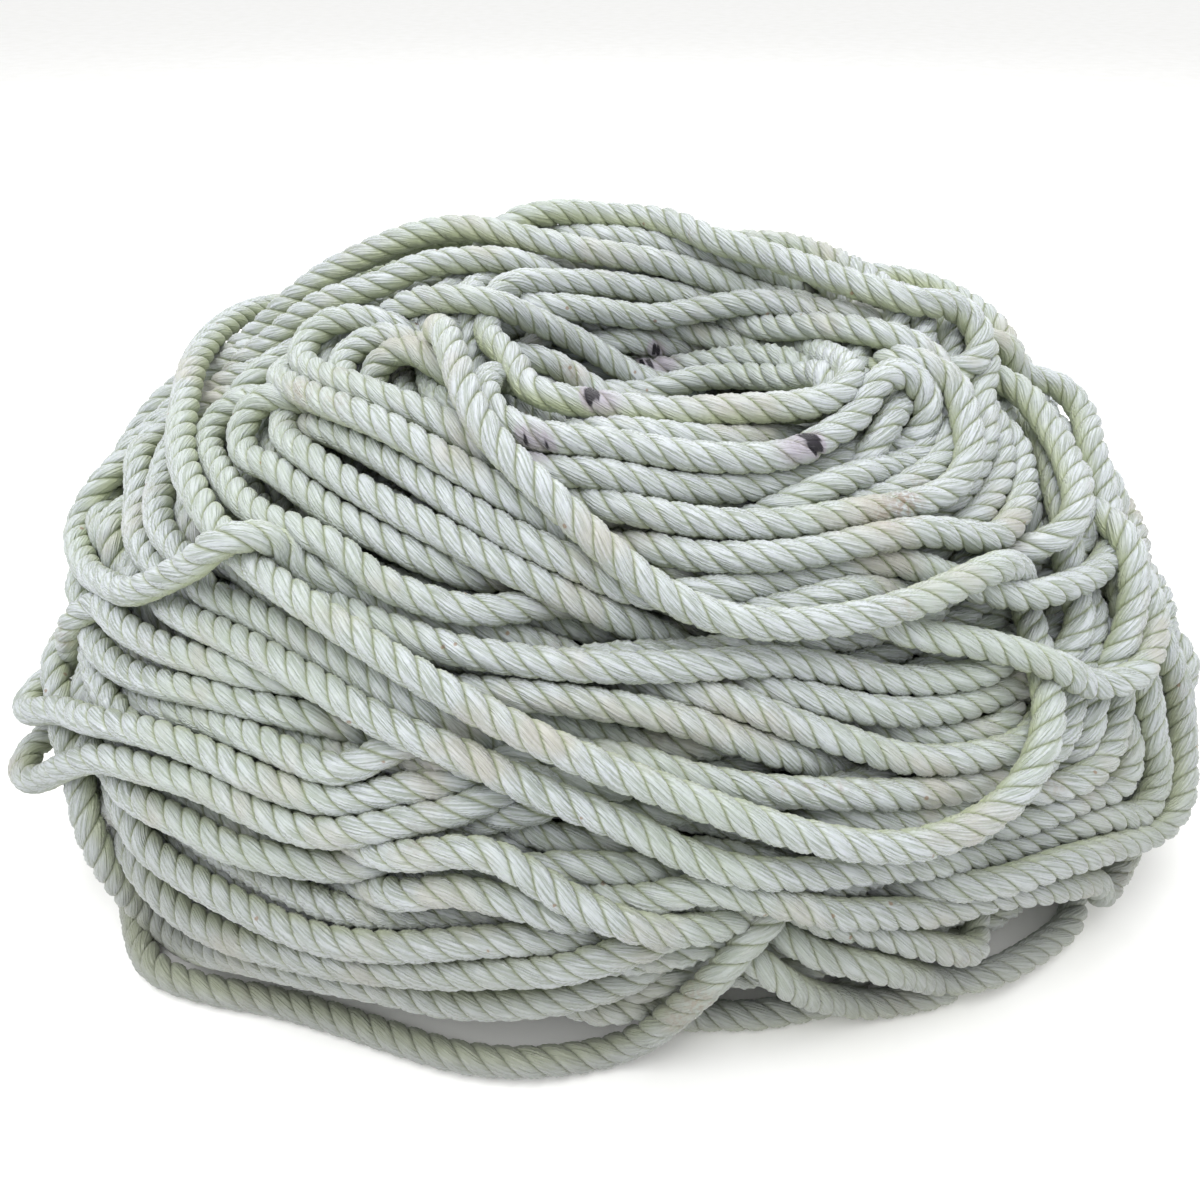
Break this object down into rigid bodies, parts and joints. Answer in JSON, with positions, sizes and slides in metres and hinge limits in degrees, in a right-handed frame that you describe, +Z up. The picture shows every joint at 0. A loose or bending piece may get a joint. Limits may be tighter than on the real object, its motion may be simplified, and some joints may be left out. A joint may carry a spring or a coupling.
{
  "type": "climbing rope heap",
  "caption": "Long three-strand laid nylon rope thrown down in one domed heap of turns, with an eye in its top, loose loops over its front and two whipped ends.",
  "frame": {"origin": "on the floor under the middle of the heap's widest turn, at the face it rests on", "axes": "+Z up; -Y is the front, the side with the loose loop; +X is to the right seen from the front"},
  "size_m": [0.5021, 0.4008, 0.2265],
  "materials": {
    "rope": "silky laid nylon yarn, pale green-white",
    "twine": "waxed whipping twine",
    "fused_nylon": "nylon melted to a hard bead"
  },
  "bodies": {
    "root": {"inner_turns": "rope", "outer_turns": "rope", "front_loop": "rope", "foot_run": "rope", "eye_turn": "rope", "crossing_run": "rope", "right_hairpin": "rope", "long_diagonal": "rope", "back_run": "rope", "whipping_low": "twine", "whipping_high": "twine", "strand_ends_low": "fused_nylon", "strand_ends_high": "fused_nylon"}
  },
  "joints": []
}
